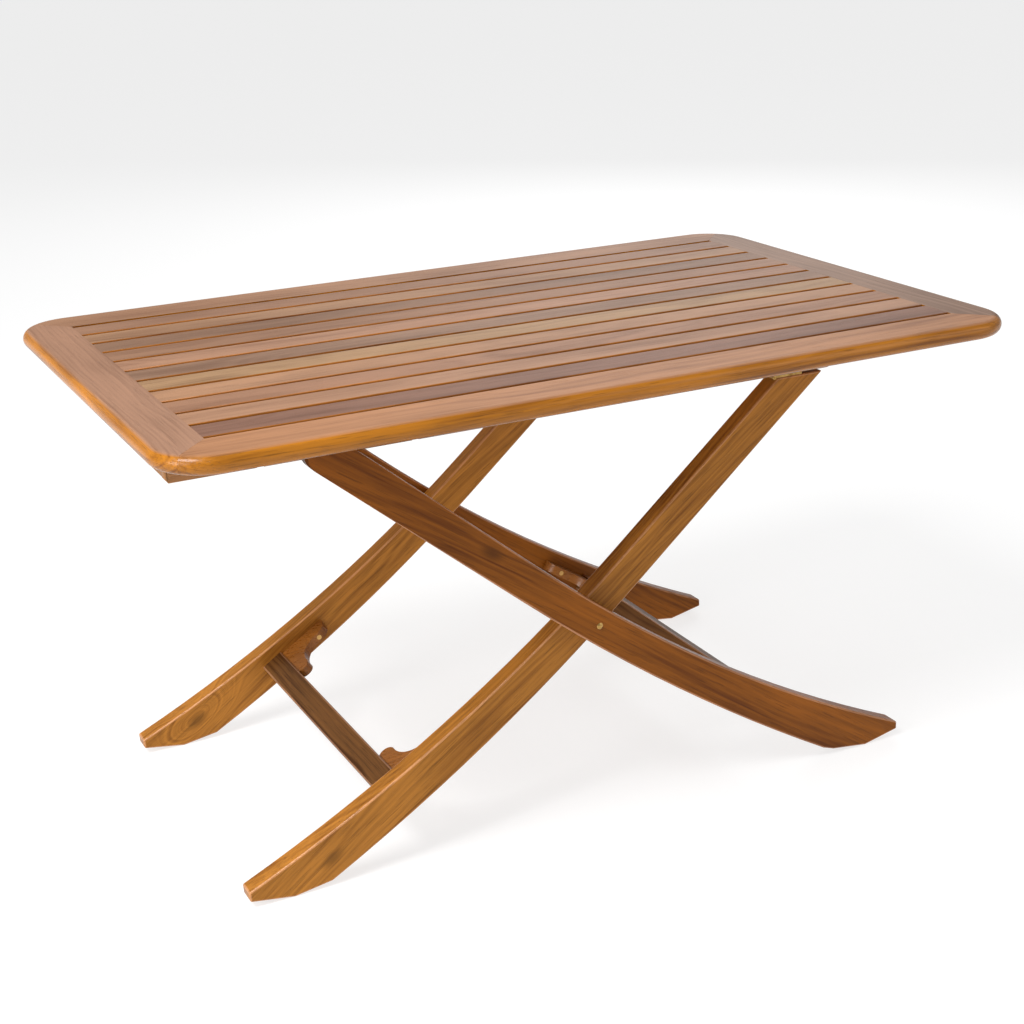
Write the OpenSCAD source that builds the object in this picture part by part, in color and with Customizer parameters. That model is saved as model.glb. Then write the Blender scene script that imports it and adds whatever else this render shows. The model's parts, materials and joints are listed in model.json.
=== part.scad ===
// Folding slatted table with height racks, open at its middle height.
// X runs along the table, -Y is the front, +Z is up. The origin is on the floor
// below the middle of the top. Millimetres and degrees.

/* [Top] */
// Length of the top
top_l = 1200; // [1150:1:1300]
// Width of the top
top_w = 740; // [700:1:800]
// Height of the upper face above the floor
top_h = 647; // [646:0.5:650]
// Thickness of the top, also the diameter of its rounded edge
top_t = 23.5; // [22:0.5:25]
// Outer corner radius of the top
corner_r = 72; // [50:1:90]
// Width of the end rails
end_rail_w = 68; // [60:1:72]
// Width of the long rails
side_rail_w = 70; // [66:1:74]
// Gap between neighbouring slats
slat_gap = 7; // [5:0.5:9]

/* [Racks] */
// Depth of a rack below the top
rack_h = 38.5; // [37:0.5:38.5]
// Left end of the racks
rack_x0 = -564.5; // [-570:0.5:-540]
// Right end of the racks
rack_x1 = 369; // [350:1:390]
// Distance between neighbouring height notches
notch_pitch = 99.5; // [80:0.5:110]
// Depth of a notch
notch_d = 22; // [14:1:26]
// Width of the cross bearers
bearer_w = 40; // [30:1:50]

/* [Legs] */
// Thickness of a leg
leg_t = 27.5; // [26:0.5:27.5]
// Outer face of the inner legs, from the middle of the table
inner_y = 252.5; // [248:0.5:256]
// Width left for the washer between the legs
leg_gap = 2.5; // [2:0.5:3]
// Diameter of the rod that drops into the racks
rod_d = 8; // [6:0.5:8]

/* [Stretchers and brackets] */
// Width of a stretcher along the legs
stretcher_w = 36; // [30:1:40]
// Thickness of a stretcher
stretcher_t = 28; // [20:1:30]
// Length of a bracket along the leg
bracket_l = 78; // [70:1:84]
// Reach of a bracket along the stretcher
bracket_reach = 74; // [66:1:80]
// Thickness of a bracket
bracket_t = 14; // [10:1:18]

/* [Hidden] */
$fn = 64;
BIG_FN = 720;
CUT = 0.1;
FAR = 2000;
SLIT = 0.1;
RUN = 0.05;
TEAK = [0.66, 0.44, 0.26];
DARK = [0.42, 0.27, 0.17];
BRASS = [0.78, 0.62, 0.30];
slat_count = 11;
edge_r = top_t/2;
under_z = top_h - top_t;
rack_z = under_z - rack_h;
in_x = top_l/2 - end_rail_w;
in_y = top_w/2 - side_rail_w;
slat_w = (2*in_y - (slat_count + 1)*slat_gap)/slat_count;
slat_pitch = slat_w + slat_gap;
tenon_l = 12;
tenon_t = 8;
tenon_side = 7;
root_w = 2;
outer_y = inner_y + leg_gap + leg_t;
// slopes of the leg frames
inner_tilt = 40.7;
outer_tilt = 39.8;
// crossing point of the legs
pivot_x = -15;
pivot_z = 295;
// rod that carries the left end of the top, just below the middle notch
rod_x = -354;
rod_gap = 0.5;
rod_z = rack_z - rod_gap - rod_d/2;
rod_inset = 6;
rod_end = outer_y - rod_inset;
// hinge axis of the inner legs
hinge_x = 277;
hinge_drop = 3.1;
hinge_z = rack_z - hinge_drop;
leaf_t = 1.5;
leaf_gap = 0.3;
leaf_l = 44;
leaf_w = 24;
knuckle_r = 2.8;
knuckle_w = 9;
pin_r = 1.4;
leaf_shim = 0.02;
pin_over = 0.5;
hinge_fix_x = [16, 36];
hinge_screw_l = 12;
leg_top_z = rack_z - 2*leaf_t - leaf_gap;
// pivot bolt
bolt_r = 4;
head_r = 4.6;
head_h = 1.8;
washer_r = 11;
nut_r = 7.2;
nut_t = 5;
bolt_over = 2;
// profile of a leg about the pivot: [upper half width, lower half width,
// start and radius of the upper curve, start and radius of the lower curve]
inner_form = [24, 23.8, 90, 2226, 56, 2537];
outer_form = [20.7, 27.3, 122, 2464, 123, 3340];
// foot: heel, lowest edge, toe and tip, measured along and across the leg
inner_foot = [[-478.3, 32.9], [-523.7, 61.4], [-562.7, 108.1], [-554, 120]];
outer_foot = [[-487.1, 32.5], [-536.8, 63.5], [-573.6, 109.8], [-565, 117]];
inner_len = 480;
outer_end = 474;
// room above and right of the heel in the blank that a leg is cut from
blank_over = 20;
blank_heel = 160;
// line on the leg where the bracket meets the stretcher, about the pivot
brace_s = -322.6;
brace_n = 44;
brace_tilt = -8;
plug_r = 3.8;
screw_r = 1.9;

// ---- helpers ----

// cylinder along Y from y0 to y1
module bar_y(x, z, r, y0, y1) {
  translate([x, y0, z])
    rotate([-90, 0, 0])
      cylinder(r = r, h = y1 - y0);
}

// box given by two corners
module box(a, b) {
  translate(a)
    cube(b - a);
}

// the same thing on the front (-Y) and the back (+Y)
module both_sides() {
  children();
  mirror([0, 1, 0])
    children();
}

// ---- top ----

// quarter of the rounded outer corner with its half-round edge
module corner_piece() {
  rotate_extrude(angle = 90, $fn = 128) {
    square([corner_r - edge_r, top_t]);
    translate([corner_r - edge_r, edge_r])
      intersection() {
        circle(r = edge_r);
        translate([0, -edge_r])
          square([edge_r + 1, top_t]);
      }
  }
}

// the whole outline of the top, with a half-round edge all round
module top_blank() {
  cx = top_l/2 - corner_r;
  cy = top_w/2 - corner_r;
  translate([0, 0, under_z]) {
    box([-cx, -(top_w/2 - edge_r), 0], [cx, top_w/2 - edge_r, top_t]);
    box([-(top_l/2 - edge_r), -cy, 0], [top_l/2 - edge_r, cy, top_t]);
    for (k = [-1, 1]) {
      translate([-cx, k*(top_w/2 - edge_r), edge_r])
        rotate([0, 90, 0])
          cylinder(r = edge_r, h = 2*cx);
      translate([k*(top_l/2 - edge_r), -cy, edge_r])
        rotate([-90, 0, 0])
          cylinder(r = edge_r, h = 2*cy);
    }
    for (q = [0:3])
      translate([(q == 0 || q == 3 ? cx : -cx), (q < 2 ? cy : -cy), 0])
        rotate([0, 0, 90*q])
          corner_piece();
  }
}

// mitred outline of the front rail, standing through the top
module long_rail_zone() {
  s = SLIT;
  translate([0, 0, under_z - 1])
    linear_extrude(top_t + 2)
      polygon([
        [-top_l/2 + s, -top_w/2 - 1], [top_l/2 - s, -top_w/2 - 1],
        [top_l/2 - s, -top_w/2], [in_x - s, -in_y],
        [-in_x + s, -in_y], [-top_l/2 + s, -top_w/2]
      ]);
}

// mitred outline of the left end rail
module end_rail_zone() {
  s = SLIT;
  translate([0, 0, under_z - 1])
    linear_extrude(top_t + 2)
      polygon([
        [-top_l/2 - 1, -top_w/2 + s], [-top_l/2, -top_w/2 + s],
        [-in_x, -in_y + s], [-in_x, in_y - s],
        [-top_l/2, top_w/2 - s], [-top_l/2 - 1, top_w/2 - s]
      ]);
}

// size of the hidden spline across a mitre, and its place from the inner corner
spline_size = [24, 34, 5];
spline_in = 30;

module spline(play = 0) {
  turn = atan2(side_rail_w, end_rail_w);
  for (i = [-1, 1])
    for (j = [-1, 1])
      translate([i*(in_x + spline_in*cos(turn)), j*(in_y + spline_in*sin(turn)), top_h - edge_r])
        rotate([0, 0, i*j*turn + 90])
          cube(spline_size + 2*play*[1, 1, 1], center = true);
}

module front_rail() {
  color(TEAK)
    difference() {
      intersection() {
        top_blank();
        long_rail_zone();
      }
      spline(play = RUN);
    }
}

module back_rail() {
  mirror([0, 1, 0])
    front_rail();
}

module left_end_rail() {
  color(TEAK)
    difference() {
      intersection() {
        top_blank();
        end_rail_zone();
      }
      spline(play = RUN);
      for (i = [1:slat_count])
        slat_tenon(i, play = SLIT);
      screw_holes();
    }
}

module right_end_rail() {
  mirror([1, 0, 0])
    color(TEAK)
      difference() {
        intersection() {
          top_blank();
          end_rail_zone();
        }
        spline(play = RUN);
        for (i = [1:slat_count])
          slat_tenon(i, play = SLIT);
      }
}

module mitre_splines() {
  color(DARK)
    spline();
}

// slat 1 is the front one
function slat_y(i) = (i - (slat_count + 1)/2)*slat_pitch;

// tenons at both ends of a slat
module slat_tenon(i, play = 0) {
  w = slat_w/2 - tenon_side + play;
  t = tenon_t/2 + play;
  l = in_x + tenon_l + play;
  for (k = [-1, 1])
    translate([k*(l + in_x)/2, slat_y(i), top_h - top_t/2])
      cube([l - in_x + (play > 0 ? CUT : 0), 2*w, 2*t], center = true);
}

module slat(i) {
  color(TEAK)
    difference() {
      union() {
        box([-in_x + SLIT, slat_y(i) - slat_w/2, under_z],
            [in_x - SLIT, slat_y(i) + slat_w/2, top_h]);
        intersection() {
          slat_tenon(i, play = 0);
          box([-FAR, -FAR, under_z], [FAR, FAR, top_h]);
        }
        slat_root(i);
      }
      screw_holes();
    }
}

// ties each tenon to the slat across the thin slit at the shoulder
module slat_root(i) {
  w = slat_w/2 - tenon_side;
  for (k = [-1, 1])
    translate([k*in_x, slat_y(i), top_h - top_t/2])
      cube([root_w, 2*w, tenon_t], center = true);
}

// ---- racks and bearers ----

rack_screw_x = [-545, -410, -150, 100, 345];
bearer_x = [rack_x0 + bearer_w/2, -60, 440];
bearer_h = [rack_h, 25, 25];
bearer_end = inner_y - leg_t - SLIT;
screw_bite = 12;
bearer_slats = [3, 6, 9];
notch_play = 0.5;
rack_nose = 9;

// screw with a countersunk head, head face at the bottom, pointing up
module screw(x, y, z, len, play = 0) {
  head = 2*screw_r;
  translate([x, y, z]) {
    cylinder(r = screw_r + play, h = len + play);
    cylinder(r1 = head + play, r2 = screw_r + play, h = screw_r + play);
  }
}

module rack_screw_set(play = 0) {
  for (x = rack_screw_x)
    both_sides()
      screw(x, -(inner_y - leg_t/2), rack_z, rack_h + screw_bite, play);
}

module bearer_screw_set(play = 0) {
  for (b = [0:2])
    for (i = bearer_slats)
      screw(bearer_x[b], slat_y(i), under_z - bearer_h[b], bearer_h[b] + screw_bite, play);
}

module screw_holes() {
  rack_screw_set(play = RUN);
  bearer_screw_set(play = RUN);
}

module notch(x) {
  w = rod_d/2 + notch_play;
  box([x - w, -FAR, rack_z - 1], [x + w, FAR, rack_z + notch_d - w]);
  bar_y(x, rack_z + notch_d - w, w, -FAR, FAR);
}

module front_rack() {
  color(TEAK)
    difference() {
      box([rack_x0, -inner_y, rack_z], [rack_x1, -inner_y + leg_t, under_z]);
      for (k = [-1:1])
        notch(rod_x + k*notch_pitch);
      difference() {
        box([rack_x1 - rack_nose, -FAR, rack_z - 1], [rack_x1 + 1, FAR, rack_z + rack_nose]);
        bar_y(rack_x1 - rack_nose, rack_z + rack_nose, rack_nose, -FAR, FAR);
      }
      screw_holes();
      hinge_screw_top_set(play = RUN);
    }
}

module back_rack() {
  mirror([0, 1, 0])
    front_rack();
}

module bearer(b) {
  color(TEAK)
    difference() {
      box([bearer_x[b] - bearer_w/2, -bearer_end, under_z - bearer_h[b]],
          [bearer_x[b] + bearer_w/2, bearer_end, under_z]);
      bearer_screw_set(play = RUN);
    }
}

module rack_screws() {
  color(BRASS)
    rack_screw_set();
}

module bearer_screws() {
  color(BRASS)
    bearer_screw_set();
}

// ---- legs ----

// places children drawn along and across a leg at the crossing point
module on_inner() {
  translate([pivot_x, 0, pivot_z])
    rotate([0, -inner_tilt, 0])
      children();
}

module on_outer() {
  translate([pivot_x, 0, pivot_z])
    mirror([1, 0, 0])
      rotate([0, -outer_tilt, 0])
        children();
}

// curved leg lying along X in its own frame, between y0 and y1
module leg_body(form, foot, top_s, y0, y1) {
  wu = form[0];
  wl = form[1];
  tip_n = wu + pow(form[2] - foot[3][0], 2)/(2*form[3]) + blank_over;
  difference() {
    intersection() {
      // outline from the foot to the top end
      translate([0, y1, 0])
        rotate([90, 0, 0])
          linear_extrude(y1 - y0)
            polygon([
              foot[0], foot[1], foot[2], foot[3], [foot[3][0], tip_n],
              [top_s, tip_n], [top_s, -wl - 1], [foot[0][0] + blank_heel, -wl - 1]
            ]);
      // lower edge: straight, then an arc
      union() {
        box([form[4], y0 - 1, -wl], [FAR, y1 + 1, FAR]);
        intersection() {
          box([-FAR, y0 - 1, -FAR], [form[4] + CUT, y1 + 1, FAR]);
          bar_y(form[4], form[5] - wl, form[5], y0 - 1, y1 + 1, $fn = BIG_FN);
        }
      }
    }
    // upper edge: straight, then an arc
    box([form[2], y0 - 1, wu], [FAR, y1 + 1, FAR]);
    intersection() {
      box([-FAR, y0 - 1, -FAR], [form[2] + CUT, y1 + 1, FAR]);
      bar_y(form[2], form[3] + wu, form[3], y0 - 1, y1 + 1, $fn = BIG_FN);
    }
  }
}

module front_inner_leg() {
  color(TEAK)
    difference() {
      intersection() {
        on_inner()
          leg_body(inner_form, inner_foot, inner_len, -inner_y, -inner_y + leg_t);
        box([-FAR, -FAR, -1], [FAR, FAR, leg_top_z]);
      }
      bar_y(pivot_x, pivot_z, bolt_r + RUN, -FAR, 0);
      on_inner()
        stretcher(inner_y - leg_t, play = SLIT);
      hinge_screw_leg_set(play = RUN);
      on_inner()
        bracket_screw_set(inner_y - leg_t, play = RUN);
    }
}

module back_inner_leg() {
  mirror([0, 1, 0])
    front_inner_leg();
}

// front outer leg: round top end around the rod end
module front_outer_leg() {
  y0 = -outer_y;
  y1 = -outer_y + leg_t;
  r = (outer_form[0] + outer_form[1])/2;
  mid = (outer_form[0] - outer_form[1])/2;
  color(TEAK)
    difference() {
      on_outer() {
        leg_body(outer_form, outer_foot, outer_end, y0, y1);
        intersection() {
          bar_y(outer_end, mid, r, y0, y1);
          box([outer_end - CUT, -FAR, -FAR], [FAR, FAR, FAR]);
        }
      }
      bar_y(pivot_x, pivot_z, bolt_r + RUN, -FAR, 0);
      bar_y(rod_x, rod_z, rod_d/2 + RUN, -rod_end - RUN, 0);
      on_outer()
        stretcher(outer_y - leg_t, play = SLIT);
      on_outer()
        bracket_screw_set(outer_y - leg_t, play = RUN);
    }
}

module back_outer_leg() {
  mirror([0, 1, 0])
    front_outer_leg();
}

// ---- stretchers and brackets ----

// frame of the stretcher: X up the leg from the stretcher, Z across it, upper face at 0
module on_brace() {
  translate([brace_s, 0, brace_n])
    rotate([0, -brace_tilt, 0])
      children();
}

// stretcher between leg faces at +-y, with a tenon at each end
module stretcher(y, play = 0) {
  tenon = 18;
  side = 6;
  on_brace() {
    if (play == 0)
      box([-stretcher_w, -y + SLIT, -stretcher_t], [0, y - SLIT, 0]);
    box([-stretcher_w + side - play, -y - tenon - play, -stretcher_t + side - play],
        [-side + play, y + tenon + play, -side + play]);
  }
}

module inner_stretcher() {
  color(DARK)
    on_inner()
      stretcher(inner_y - leg_t);
}

module outer_stretcher() {
  color(DARK)
    on_outer()
      stretcher(outer_y - leg_t);
}

// outline of a bracket from the inner corner: X along the leg, Y along the stretcher.
// A round lobe at each end, joined by a hollow arc.
module bracket_outline() {
  leg_r = 22;
  end_r = 13;
  hollow_r = 34.4;
  leg_lobe = [bracket_l - leg_r, 4];
  end_lobe = [8, bracket_reach - 12];
  hollow = [55, 60];
  intersection() {
    union() {
      translate(leg_lobe)
        circle(r = leg_r);
      translate(end_lobe)
        circle(r = end_r);
      difference() {
        polygon([[0, 0], [leg_lobe[0], 0], leg_lobe, hollow, end_lobe, [0, end_lobe[1]]]);
        translate(hollow)
          circle(r = hollow_r);
      }
    }
    translate([SLIT, SLIT])
      square([bracket_l + 9, bracket_reach + 9]);
  }
}

// plate in the corner of the front leg face at -y and the stretcher
module bracket(y) {
  color(TEAK)
    difference() {
      on_brace()
        translate([0, -y, -bracket_drop - bracket_t])
          linear_extrude(bracket_t)
            bracket_outline();
      bracket_screw_set(y, play = RUN);
      bracket_plug_set(y, play = RUN);
    }
}

// fixings of a bracket: one screw into the leg, its head under a plug
bracket_drop = 4;
bracket_fix_x = 58;
bracket_fix_z = -11;
bracket_fix_y = 14;
plug_l = 12;
plug_hole_over = 2;
bracket_screw_l = 34;
bracket_head_r = 3;
bracket_head_t = 2;

module bracket_screw_set(y, play = 0) {
  on_brace()
    both_sides()
      translate([bracket_fix_x, -y + bracket_fix_y, bracket_fix_z])
        rotate([90, 0, 0]) {
          cylinder(r = screw_r + play, h = bracket_screw_l + play);
          cylinder(r = bracket_head_r + play, h = bracket_head_t + play);
        }
}

module bracket_plug_set(y, play = 0) {
  on_brace()
    both_sides()
      translate([bracket_fix_x, -y + bracket_fix_y + SLIT, bracket_fix_z])
        rotate([-90, 0, 0])
          cylinder(r = plug_r + play, h = plug_l + (play > 0 ? plug_hole_over : 0));
}

module front_inner_bracket() {
  on_inner()
    bracket(inner_y - leg_t);
}

module back_inner_bracket() {
  mirror([0, 1, 0])
    front_inner_bracket();
}

module front_outer_bracket() {
  on_outer()
    bracket(outer_y - leg_t);
}

module back_outer_bracket() {
  mirror([0, 1, 0])
    front_outer_bracket();
}

module inner_bracket_screws() {
  color(BRASS)
    on_inner()
      bracket_screw_set(inner_y - leg_t);
}

module outer_bracket_screws() {
  color(BRASS)
    on_outer()
      bracket_screw_set(outer_y - leg_t);
}

module inner_bracket_plugs() {
  color(TEAK)
    on_inner()
      bracket_plug_set(inner_y - leg_t);
}

module outer_bracket_plugs() {
  color(TEAK)
    on_outer()
      bracket_plug_set(outer_y - leg_t);
}

// ---- pivot hardware ----

module rack_rod() {
  color(BRASS)
    bar_y(rod_x, rod_z, rod_d/2, -rod_end, rod_end);
}

module pivot_bolts() {
  dome_r = (head_r*head_r + head_h*head_h)/(2*head_h);
  color(BRASS)
    both_sides() {
      bar_y(pivot_x, pivot_z, bolt_r, -outer_y - SLIT, -inner_y + leg_t + nut_t + bolt_over);
      intersection() {
        translate([pivot_x, -outer_y - head_h + dome_r - SLIT, pivot_z])
          sphere(r = dome_r, $fn = 96);
        bar_y(pivot_x, pivot_z, head_r + 1, -outer_y - head_h - 1, -outer_y - SLIT);
      }
    }
}

module pivot_washers() {
  color(BRASS)
    both_sides()
      difference() {
        bar_y(pivot_x, pivot_z, washer_r, -inner_y - leg_gap + SLIT, -inner_y - SLIT);
        bar_y(pivot_x, pivot_z, bolt_r + RUN, -inner_y - 5, -inner_y + 5);
      }
}

module pivot_nuts() {
  color(BRASS)
    both_sides()
      difference() {
        translate([pivot_x, -inner_y + leg_t + SLIT, pivot_z])
          rotate([-90, 0, 0])
            linear_extrude(nut_t)
              circle(r = nut_r, $fn = 6);
        bar_y(pivot_x, pivot_z, bolt_r + RUN, -inner_y, 0);
      }
}

// ---- hinges at the top of the inner legs ----

hinge_y = inner_y - leg_t/2;

// leaf between heights z0 and z1, with the middle knuckle or the two outer ones
module hinge_leaf(z0, z1, middle) {
  y0 = -hinge_y - leaf_w/2;
  y1 = -hinge_y + leaf_w/2;
  m = knuckle_w/2;
  clear = knuckle_r + leaf_gap;
  difference() {
    union() {
      box([hinge_x + clear, y0, z0], [hinge_x + leaf_l, y1, z1]);
      if (middle) {
        box([hinge_x, -hinge_y - m, z0], [hinge_x + clear + 1, -hinge_y + m, z1]);
        bar_y(hinge_x, hinge_z, knuckle_r, -hinge_y - m, -hinge_y + m);
      } else {
        for (k = [[y0, -hinge_y - m - leaf_gap], [-hinge_y + m + leaf_gap, y1]]) {
          box([hinge_x, k[0], z0], [hinge_x + clear + 1, k[1], z1]);
          bar_y(hinge_x, hinge_z, knuckle_r, k[0], k[1]);
        }
      }
    }
    bar_y(hinge_x, hinge_z, pin_r + RUN, y0 - 1, y1 + 1);
  }
}

module hinge_screw_pair(z, turn, play) {
  both_sides()
    for (x = hinge_fix_x)
      translate([hinge_x + x, -hinge_y, z])
        rotate([turn, 0, 0])
          cylinder(r = screw_r + play, h = hinge_screw_l + play);
}

module hinge_screw_top_set(play = 0) {
  hinge_screw_pair(rack_z - leaf_t + RUN, 0, play);
}

module hinge_screw_leg_set(play = 0) {
  hinge_screw_pair(leg_top_z + leaf_t - RUN, 180, play);
}

module hinge_leaves_top() {
  color(BRASS)
    both_sides()
      difference() {
        hinge_leaf(rack_z - leaf_t, rack_z - leaf_shim, false);
        hinge_screw_top_set(play = RUN);
      }
}

module hinge_leaves_leg() {
  color(BRASS)
    both_sides()
      difference() {
        hinge_leaf(leg_top_z + leaf_shim, leg_top_z + leaf_t, true);
        hinge_screw_leg_set(play = RUN);
      }
}

module hinge_pins() {
  color(BRASS)
    both_sides()
      bar_y(hinge_x, hinge_z, pin_r, -hinge_y - leaf_w/2 - pin_over, -hinge_y + leaf_w/2 + pin_over);
}

module hinge_screws_top() {
  color(BRASS)
    hinge_screw_top_set();
}

module hinge_screws_leg() {
  color(BRASS)
    hinge_screw_leg_set();
}

// ---- one line per piece ----

front_rail();
back_rail();
left_end_rail();
right_end_rail();
mitre_splines();
slat(1);  // slat_01
slat(2);  // slat_02
slat(3);  // slat_03
slat(4);  // slat_04
slat(5);  // slat_05
slat(6);  // slat_06
slat(7);  // slat_07
slat(8);  // slat_08
slat(9);  // slat_09
slat(10);  // slat_10
slat(11);  // slat_11
front_rack();
back_rack();
bearer(0);  // left_bearer
bearer(1);  // middle_bearer
bearer(2);  // right_bearer
rack_screws();
bearer_screws();
hinge_leaves_top();
hinge_leaves_leg();
hinge_pins();
hinge_screws_top();
hinge_screws_leg();
front_inner_leg();
back_inner_leg();
inner_stretcher();
front_inner_bracket();
back_inner_bracket();
inner_bracket_screws();
inner_bracket_plugs();
pivot_bolts();
pivot_washers();
pivot_nuts();
front_outer_leg();
back_outer_leg();
outer_stretcher();
front_outer_bracket();
back_outer_bracket();
outer_bracket_screws();
outer_bracket_plugs();
rack_rod();
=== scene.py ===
"""Looks of the folding slatted table: oiled hardwood, brass fittings, studio light."""

import json
import math

import bpy
from mathutils import Matrix, Vector

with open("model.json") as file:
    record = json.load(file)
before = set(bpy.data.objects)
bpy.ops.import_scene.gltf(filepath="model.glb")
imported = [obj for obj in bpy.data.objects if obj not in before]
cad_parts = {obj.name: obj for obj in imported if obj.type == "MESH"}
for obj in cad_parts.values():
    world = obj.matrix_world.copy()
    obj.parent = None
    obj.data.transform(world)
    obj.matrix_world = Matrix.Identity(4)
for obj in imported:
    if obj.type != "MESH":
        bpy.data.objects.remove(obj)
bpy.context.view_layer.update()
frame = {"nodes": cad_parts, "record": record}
NODES = frame["nodes"]

# Slopes of the two leg frames, in degrees, as the grain of their boards runs
INNER_SLOPE = 35.0
OUTER_SLOPE = -34.0
ALONG_X = (0, 0, 0)
ALONG_Y = (0, 0, -90)
ALONG_INNER = (0, INNER_SLOPE, 0)
ALONG_OUTER = (0, OUTER_SLOPE, 0)
ACROSS_CORNER = (0, 0, 45)


# ---- node graphs ----


class Graph:
    """A material's node tree, with short calls to add and link nodes."""

    def __init__(self, name):
        self.material = bpy.data.materials.new(name)
        self.material.use_nodes = True
        self.tree = self.material.node_tree
        self.tree.nodes.clear()
        self.shader = self.add("ShaderNodeBsdfPrincipled")
        out = self.add("ShaderNodeOutputMaterial")
        self.tree.links.new(self.shader.outputs[0], out.inputs["Surface"])

    def add(self, kind, settings=None, **inputs):
        made = self.tree.nodes.new(kind)
        for key, value in (settings or {}).items():
            setattr(made, key, value)
        for key, value in inputs.items():
            self.put(made, key, value)
        return made

    def put(self, made, key, value):
        socket = made.inputs[int(key[1:])] if key[0] == "i" and key[1:].isdigit() else made.inputs[key]
        if isinstance(value, bpy.types.NodeSocket):
            self.tree.links.new(value, socket)
        else:
            socket.default_value = value

    def math(self, operation, a, b=0.0, clamp=False):
        made = self.add("ShaderNodeMath", {"operation": operation, "use_clamp": clamp}, i0=a, i1=b)
        return made.outputs[0]

    def span(self, value, low, high, to_low=0.0, to_high=1.0):
        """value scaled smoothly from low..high to to_low..to_high, and held there."""
        made = self.add("ShaderNodeMapRange", {"interpolation_type": "SMOOTHSTEP"}, Value=value)
        for key, number in zip(("From Min", "From Max", "To Min", "To Max"), (low, high, to_low, to_high)):
            self.put(made, key, number)
        return made.outputs[0]

    def noise(self, vector, scale, detail=2.0, rough=0.5):
        made = self.add("ShaderNodeTexNoise", Vector=vector, Scale=scale, Detail=detail, Roughness=rough)
        return made.outputs["Fac"]

    def scaled(self, vector, sizes):
        made = self.add("ShaderNodeVectorMath", {"operation": "MULTIPLY"}, i0=vector, i1=sizes)
        return made.outputs[0]

    def mix(self, amount, a, b, blend="MIX"):
        made = self.add("ShaderNodeMix", {"data_type": "RGBA", "blend_type": blend})
        self.put(made, "i0", amount)
        self.put(made, "i6", a)
        self.put(made, "i7", b)
        return made.outputs[2]

    def ramp(self, value, stops):
        made = self.add("ShaderNodeValToRGB", Fac=value)
        band = made.color_ramp
        while len(band.elements) < len(stops):
            band.elements.new(0.5)
        for element, (place, colour) in zip(band.elements, stops):
            element.position = place
            element.color = (*colour, 1)
        return made.outputs[0]


def rgb(red, green, blue):
    """An 8-bit screen colour as linear light."""
    def linear(c):
        c /= 255
        return c / 12.92 if c <= 0.04045 else ((c + 0.055) / 1.055) ** 2.4
    return (linear(red), linear(green), linear(blue))


def grown(value, factor):
    """A colour made lighter or darker."""
    return tuple(min(c * factor, 1.0) for c in value)


def shaded(value, factor):
    """A darker and richer colour, as oiled wood has in its late growth."""
    return tuple(c * factor ** power for c, power in zip(value, (1.0, 1.25, 1.5)))


def highlight_tint(value, amount):
    """A colour moved towards a pale pink, painted on rounded arrises as their highlight."""
    # The pale pink of the painted highlight along the arrises
    highlight_pink = rgb(226, 168, 128)
    return tuple(c + (b - c) * amount for c, b in zip(value, highlight_pink))


# ---- wood ----

# How far the growth rings lie apart, and how far the pith is across and above the board
RING_PITCH = 0.0046
PITH_ACROSS = 0.07
PITH_ABOVE = -0.11
# Shares of rings, fibres and slow changes of tone in the figure
RING_SHARE = 0.24
FIBRE_SHARE = 0.28
BROAD_SHARE = 0.48
# Specular level of varnished boards and of dull, oiled ones, and roughness of a dry face
GLOSS = 0.28
DULL_GLOSS = 0.12
DRY_ROUGHNESS = 0.62


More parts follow.
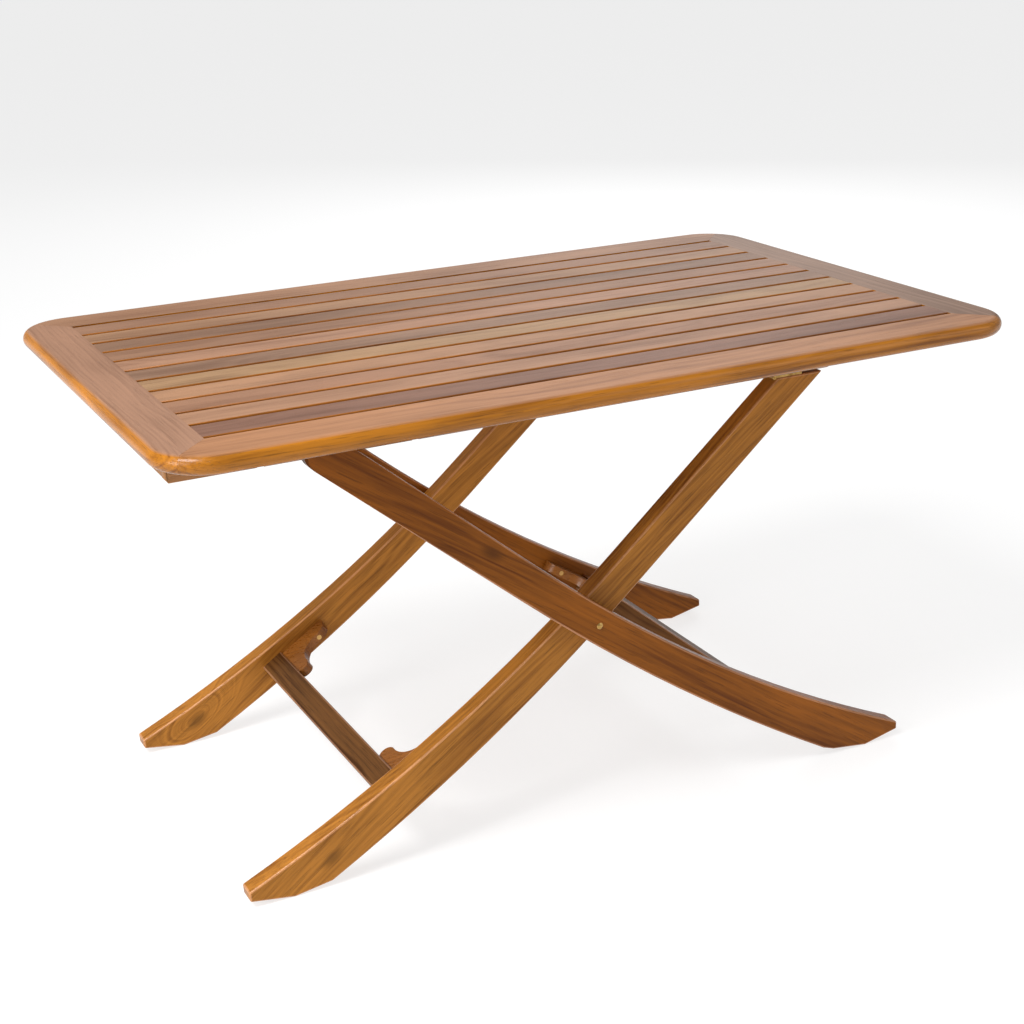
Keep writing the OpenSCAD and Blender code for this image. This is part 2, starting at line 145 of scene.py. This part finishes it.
def wood(name, tone, grain, seed, contrast=1.0, rough=0.45, weathered=None, knots=(), gloss=GLOSS):
    """Oiled board: growth rings cut lengthwise, fibres, pores and slow changes of tone.

    tone is its middle colour and grain the turn that lays the X axis along the board.
    weathered is the colour of a dry upper face, knots are (along, across, high) places and
    gloss is the shader's specular level.
    """
    g = Graph(name)
    place = g.add("ShaderNodeTexCoord")
    turned = g.add("ShaderNodeMapping", Vector=place.outputs["Object"])
    turned.inputs["Rotation"].default_value = [math.radians(a) for a in grain]
    along = turned.outputs[0]
    shift = Vector((seed * 0.731, seed * 0.377, seed * 0.219))
    moved = g.add("ShaderNodeVectorMath", {"operation": "ADD"}, i0=along, i1=shift).outputs[0]

    # slow waves bend the rings, more across the board than along it
    sway = g.add("ShaderNodeTexNoise", Vector=g.scaled(moved, (2.2, 7.0, 7.0)), Scale=1.0, Detail=2.0)
    sway_size = g.scaled(sway.outputs["Color"], (0.0, 0.05, 0.05))
    swayed = g.add("ShaderNodeVectorMath", {"operation": "ADD"}, i0=along, i1=sway_size).outputs[0]
    for spot in knots:
        away = g.add("ShaderNodeVectorMath", {"operation": "SUBTRACT"}, i0=along, i1=spot).outputs[0]
        round_spot = g.scaled(away, (0.45, 1.0, 1.0))
        near = g.add("ShaderNodeVectorMath", {"operation": "LENGTH"}, i0=round_spot).outputs["Value"]
        pull = g.span(near, 0.0, 0.045, 0.035, 0.0)
        lift = g.add("ShaderNodeCombineXYZ", Y=pull, Z=pull).outputs[0]
        swayed = g.add("ShaderNodeVectorMath", {"operation": "ADD"}, i0=swayed, i1=lift).outputs[0]

    parts = g.add("ShaderNodeSeparateXYZ", Vector=swayed)
    across = g.math("ADD", parts.outputs["Y"], PITH_ACROSS + 0.013 * math.sin(seed * 2.1))
    deep = g.math("ADD", parts.outputs["Z"], PITH_ABOVE + 0.02 * math.sin(seed * 1.3))
    tilted = g.math("ADD", across, g.math("MULTIPLY", parts.outputs["X"], 0.05 * math.sin(seed * 3.7)))
    radius = g.math("SQRT", g.math("ADD", g.math("MULTIPLY", tilted, tilted), g.math("MULTIPLY", deep, deep)))
    rings = g.add("ShaderNodeTexNoise", {"noise_dimensions": "1D"}, W=g.math("DIVIDE", radius, RING_PITCH),
                  Scale=1.0, Detail=1.5, Roughness=0.6).outputs["Fac"]

    fibres = g.noise(g.scaled(moved, (5.0, 260.0, 260.0)), 1.0, detail=3.0, rough=0.6)
    broad = g.noise(g.scaled(moved, (3.5, 16.0, 16.0)), 1.0, detail=2.0)
    pores = g.span(g.noise(g.scaled(moved, (24.0, 900.0, 900.0)), 1.0, detail=1.0), 0.60, 0.70)

    ring_part = g.math("MULTIPLY", rings, RING_SHARE)
    fibre_part = g.math("MULTIPLY", fibres, FIBRE_SHARE)
    broad_part = g.math("MULTIPLY", broad, BROAD_SHARE)
    figure = g.math("ADD", g.math("ADD", ring_part, fibre_part), broad_part)
    spread = 0.15 / contrast
    dark, light = shaded(tone, 0.50), grown(tone, 1.35)
    colour = g.ramp(figure, ((0.5 - spread, dark), (0.5, tone), (0.5 + spread, light)))
    for spot in knots:
        away = g.add("ShaderNodeVectorMath", {"operation": "SUBTRACT"}, i0=along, i1=spot).outputs[0]
        near = g.add("ShaderNodeVectorMath", {"operation": "LENGTH"}, i0=g.scaled(away, (0.5, 1.0, 1.0)))
        core = g.span(near.outputs["Value"], 0.002, 0.013, 0.6, 0.0)
        colour = g.mix(core, colour, (*grown(tone, 0.22), 1))
    pore_shade = g.math("MULTIPLY", pores, 0.45)

    if weathered:
        facing = g.add("ShaderNodeSeparateXYZ", Vector=place.outputs["Normal"]).outputs["Z"]
        upper = g.span(facing, 0.80, 0.985)
        pale = g.ramp(figure, (
            (0.5 - spread * 1.2, shaded(weathered, 0.66)),
            (0.5, weathered),
            (0.5 + spread, grown(weathered, 1.18)),
        ))
        colour = g.mix(upper, colour, pale)
        g.put(g.shader, "Roughness", g.span(upper, 0.0, 1.0, rough, DRY_ROUGHNESS))
        pore_shade = g.math("MULTIPLY", pore_shade, g.span(upper, 0.0, 1.0, 1.0, 0.5))
    else:
        g.put(g.shader, "Roughness", g.span(fibres, 0.25, 0.75, rough - 0.07, rough + 0.10))
    colour = g.mix(pore_shade, colour, (*grown(tone, 0.25), 1))
    g.put(g.shader, "Base Color", colour)
    g.put(g.shader, "Specular IOR Level", gloss)

    relief = g.math("SUBTRACT", g.math("MULTIPLY", fibres, 0.5), pores)
    bump = g.add("ShaderNodeBump", Height=relief, Strength=0.35, Distance=0.0004)
    g.put(g.shader, "Normal", bump.outputs[0])
    return g.material


def brass(name):
    """Plain brass, a little dull, with fine scratches and darker patches."""
    g = Graph(name)
    place = g.add("ShaderNodeTexCoord").outputs["Object"]
    patches = g.noise(place, 90.0, detail=3.0)
    scratches = g.noise(g.scaled(place, (60.0, 900.0, 900.0)), 1.0, detail=2.0)
    colour = g.ramp(patches, ((0.3, rgb(150, 112, 58)), (0.7, rgb(214, 178, 110))))
    g.put(g.shader, "Base Color", colour)
    g.put(g.shader, "Metallic", 1.0)
    g.put(g.shader, "Roughness", g.span(scratches, 0.3, 0.7, 0.22, 0.42))
    bump = g.add("ShaderNodeBump", Height=scratches, Strength=0.15, Distance=0.0002)
    g.put(g.shader, "Normal", bump.outputs[0])
    return g.material


# ---- dressing the CAD nodes ----

# Outer edges that turn more than this are arrises, and faces that turn less are one face
ARRIS_ANGLE = math.radians(35)
FLAT_ANGLE = math.radians(0.1)
# Edges shorter than these stay sharp: on a straight board those of its tenons and notches,
# and on a curved leg, whose arrises are chains of short edges, those round a bore
SHORTEST_STRAIGHT = 0.05
SHORTEST_CURVED = 0.005


def arris_picker(shortest):
    """Geometry nodes that weigh each long, sharp outer edge of a board for the bevel."""
    tree = bpy.data.node_groups.new("arris_picker", "GeometryNodeTree")
    tree.interface.new_socket("Geometry", in_out="INPUT", socket_type="NodeSocketGeometry")
    tree.interface.new_socket("Geometry", in_out="OUTPUT", socket_type="NodeSocketGeometry")

    def add(kind, **settings):
        made = tree.nodes.new(kind)
        for key, value in settings.items():
            setattr(made, key, value)
        return made

    link = tree.links.new
    ends = add("GeometryNodeInputMeshEdgeVertices")
    length = add("ShaderNodeVectorMath", operation="DISTANCE")
    link(ends.outputs["Position 1"], length.inputs[0])
    link(ends.outputs["Position 2"], length.inputs[1])
    long = add("ShaderNodeMath", operation="GREATER_THAN")
    link(length.outputs["Value"], long.inputs[0])
    long.inputs[1].default_value = shortest
    sharp = add("ShaderNodeMath", operation="GREATER_THAN")
    link(add("GeometryNodeInputMeshEdgeAngle").outputs["Signed Angle"], sharp.inputs[0])
    sharp.inputs[1].default_value = ARRIS_ANGLE
    both = add("ShaderNodeMath", operation="MULTIPLY")
    link(long.outputs[0], both.inputs[0])
    link(sharp.outputs[0], both.inputs[1])
    weigh = add("GeometryNodeStoreNamedAttribute", data_type="FLOAT", domain="EDGE")
    weigh.inputs["Name"].default_value = "bevel_weight_edge"
    link(both.outputs[0], weigh.inputs["Value"])
    link(add("NodeGroupInput").outputs[0], weigh.inputs["Geometry"])
    link(weigh.outputs[0], add("NodeGroupOutput").inputs[0])
    return tree


STRAIGHT_PICKER = arris_picker(SHORTEST_STRAIGHT)
CURVED_PICKER = arris_picker(SHORTEST_CURVED)


def soften(node, radius, slot, picker):
    """Rounds the long arrises of a board by a small radius, in the material of that slot."""
    weld = node.modifiers.new("weld", "WELD")
    weld.merge_threshold = 2e-6
    flat = node.modifiers.new("planed", "DECIMATE")
    flat.decimate_type = "DISSOLVE"
    flat.angle_limit = FLAT_ANGLE
    picked = node.modifiers.new("arris_picker", "NODES")
    picked.node_group = picker
    bevel = node.modifiers.new("arrises", "BEVEL")
    bevel.limit_method = "WEIGHT"
    bevel.width = radius
    bevel.segments = 3
    bevel.use_clamp_overlap = False
    bevel.material = slot
    bevel.harden_normals = False
    weighted = node.modifiers.new("face_weighted", "WEIGHTED_NORMAL")
    weighted.keep_sharp = False


def dress(node, material, radius=0.0, painted_highlight=None, picker=STRAIGHT_PICKER):
    """Gives one CAD node its material, and rounded arrises, which may take a second, paler material as a
    painted highlight.
    """
    obj = NODES[node]
    obj.data.materials.clear()
    obj.data.materials.append(material)
    # The second material, paler, is a painted highlight on the rounded arrises
    if painted_highlight:
        obj.data.materials.append(painted_highlight)
    if radius:
        soften(obj, radius, 1 if painted_highlight else 0, picker)


PINK_TAN = rgb(150, 110, 82)
GOLD = rgb(158, 98, 22)
EDGE_BROWN = rgb(150, 90, 30)
RED_BROWN = rgb(128, 72, 16)
GOLD_BROWN = rgb(165, 108, 42)
WALNUT = rgb(98, 64, 32)
UNDER_BROWN = rgb(150, 104, 62)
BRACKET_BROWN = rgb(140, 86, 34)
STRAW = rgb(214, 170, 98)

# Radii of the rounded arrises, in metres
SLAT_ARRIS = 0.0014
UNDER_ARRIS = 0.0012
LEG_ARRIS = 0.0024

# Face colour of each slat, from the front one to the back one
SLAT_FACES = [
    rgb(120, 84, 66), rgb(152, 112, 84), rgb(144, 104, 78), rgb(152, 112, 82),
    rgb(150, 116, 82), rgb(134, 102, 80), rgb(152, 112, 86), rgb(138, 101, 76),
    rgb(124, 92, 70), rgb(148, 111, 82), rgb(138, 101, 77),
]


def dress_top():
    """The slats and rails with dry upper faces, and the boards below them."""
    for i, face in enumerate(SLAT_FACES):
        name = f"slat_{i + 1:02d}"
        material = wood(f"{name}_wood", EDGE_BROWN, ALONG_X, 1.7 + i * 2.3, 1.0, 0.42, face)
        dress(name, material, SLAT_ARRIS)
    rails = {
        "front_rail": (GOLD, ALONG_X, rgb(158, 110, 74)),
        "back_rail": (GOLD, ALONG_X, PINK_TAN),
        "left_end_rail": (GOLD, ALONG_Y, rgb(146, 108, 84)),
        "right_end_rail": (grown(GOLD, 0.8), ALONG_Y, rgb(130, 100, 80)),
    }
    for i, (name, (tone, grain, face)) in enumerate(rails.items()):
        dress(name, wood(f"{name}_wood", tone, grain, 31.3 + i * 3.1, 1.1, 0.26, face))
    for i, name in enumerate(("front_rack", "back_rack", "left_bearer", "middle_bearer", "right_bearer")):
        grain = ALONG_X if "rack" in name else ALONG_Y
        material = wood(f"{name}_wood", UNDER_BROWN, grain, 47.9 + i * 1.9, 1.0, 0.5)
        dress(name, material, UNDER_ARRIS)


def dress_legs():
    """The legs and stretchers with rounded arrises in a paler colour as a painted highlight, the brackets and
    their plugs.
    """
    boards = {
        "front_inner_leg": (GOLD_BROWN, ALONG_INNER, ((-0.302, -0.250, 0.262),)),
        "back_inner_leg": (GOLD_BROWN, ALONG_INNER, ((-0.330, 0.226, 0.275),)),
        "front_outer_leg": (RED_BROWN, ALONG_OUTER, ((-0.381, -0.280, 0.261),)),
        "back_outer_leg": (RED_BROWN, ALONG_OUTER, ()),
    }
    for i, (name, (tone, grain, knots)) in enumerate(boards.items()):
        seed = 61.7 + i * 2.7
        face = wood(f"{name}_wood", tone, grain, seed, 1.1, 0.34, knots=knots, gloss=DULL_GLOSS)
        # Paler colour of the rounded arrises: a painted highlight
        painted_highlight = wood(f"{name}_arris", highlight_tint(tone, 0.32), grain, seed, 0.8, 0.28)
        dress(name, face, LEG_ARRIS, painted_highlight, CURVED_PICKER)
    for i, name in enumerate(("inner_stretcher", "outer_stretcher")):
        seed = 73.1 + i * 1.3
        # Paler colour of the rounded arrises: a painted highlight
        painted_highlight = wood(f"{name}_arris", highlight_tint(WALNUT, 0.25), ALONG_Y, seed, 0.8, 0.36)
        face = wood(f"{name}_wood", WALNUT, ALONG_Y, seed, 1.7, 0.42, gloss=DULL_GLOSS)
        dress(name, face, LEG_ARRIS, painted_highlight)
    for i, name in enumerate(n for n in sorted(NODES) if n.endswith("_bracket")):
        dress(name, wood(f"{name}_wood", BRACKET_BROWN, ACROSS_CORNER, 81.3 + i * 1.1, 0.9, 0.3))
    plug_wood = wood("plug_wood", STRAW, ALONG_X, 91.0, 0.6, 0.5)
    for name in ("inner_bracket_plugs", "outer_bracket_plugs"):
        dress(name, plug_wood)


def dress_rest():
    """The brass fittings, and the splines hidden in the mitres."""
    metal = brass("brass")
    hidden = wood("spline_wood", RED_BROWN, ALONG_X, 95.0)
    dress("mitre_splines", hidden)
    for entry in frame["record"]["subparts"]:
        if entry["material_slot"] == "brass":
            dress(entry["node"], metal)


# ---- floor, light and camera ----


def floor():
    """A wide, pale studio floor."""
    size = 60.0
    mesh = bpy.data.meshes.new("studio_floor")
    corners = [(-size, -size, 0), (size, -size, 0), (size, size, 0), (-size, size, 0)]
    mesh.from_pydata(corners, [], [(0, 1, 2, 3)])
    plane = bpy.data.objects.new("studio_floor", mesh)
    bpy.context.scene.collection.objects.link(plane)
    g = Graph("floor_paper")
    g.put(g.shader, "Base Color", (0.3, 0.3, 0.3, 1))
    g.put(g.shader, "Roughness", 0.9)
    g.put(g.shader, "Emission Color", (1, 1, 1, 1))
    g.put(g.shader, "Emission Strength", 0.72)
    mesh.materials.append(g.material)


def area_light(name, place, target, size, power):
    """A round soft light at a place, aimed at a target."""
    lamp = bpy.data.lights.new(name, "AREA")
    lamp.shape = "DISK"
    lamp.size = size
    lamp.energy = power
    obj = bpy.data.objects.new(name, lamp)
    obj.location = place
    obj.rotation_mode = "QUATERNION"
    obj.rotation_quaternion = (Vector(target) - Vector(place)).to_track_quat("-Z", "Y")
    bpy.context.scene.collection.objects.link(obj)


def light():
    """Soft studio light, strongest from the left, and a pale surround."""
    middle = (0, 0, 0.4)
    area_light("key", (-2.2, -0.8, 3.4), middle, 1.6, 135)
    area_light("side", (-3.4, -0.9, 1.5), middle, 1.6, 62)
    area_light("fill", (3.0, -3.0, 2.2), middle, 3.0, 30)
    area_light("rim", (2.6, 3.6, 2.4), middle, 2.5, 60)
    world = bpy.data.worlds.new("studio")
    world.use_nodes = True
    sky = world.node_tree.nodes["Background"]
    sky.inputs["Color"].default_value = (1, 1, 1, 1)
    sky.inputs["Strength"].default_value = 0.35
    bpy.context.scene.world = world
    bpy.context.scene.view_settings.view_transform = "Standard"


def camera():
    """Camera at the view of the real object: a low look from the front left."""
    azimuth, elevation, roll = (math.radians(a) for a in (-26.39, 20.72, -1.61))
    back = Vector((
        math.sin(azimuth) * math.cos(elevation),
        -math.cos(azimuth) * math.cos(elevation),
        math.sin(elevation),
    ))
    right = Vector((math.cos(azimuth), math.sin(azimuth), 0))
    up = back.cross(right)
    rolled_right = right * math.cos(roll) + up * math.sin(roll)
    rolled_up = up * math.cos(roll) - right * math.sin(roll)
    data = bpy.data.cameras.new("camera")
    data.sensor_width = 36
    data.lens = 61.24
    data.shift_x = 0.0105
    data.shift_y = 0.0144
    obj = bpy.data.objects.new("camera", data)
    turn = Matrix((rolled_right, rolled_up, back)).transposed().to_4x4()
    obj.matrix_world = Matrix.Translation((-1.0629, -2.1096, 1.2343)) @ turn
    bpy.context.scene.collection.objects.link(obj)
    bpy.context.scene.camera = obj


dress_top()
dress_legs()
dress_rest()
floor()
light()
camera()
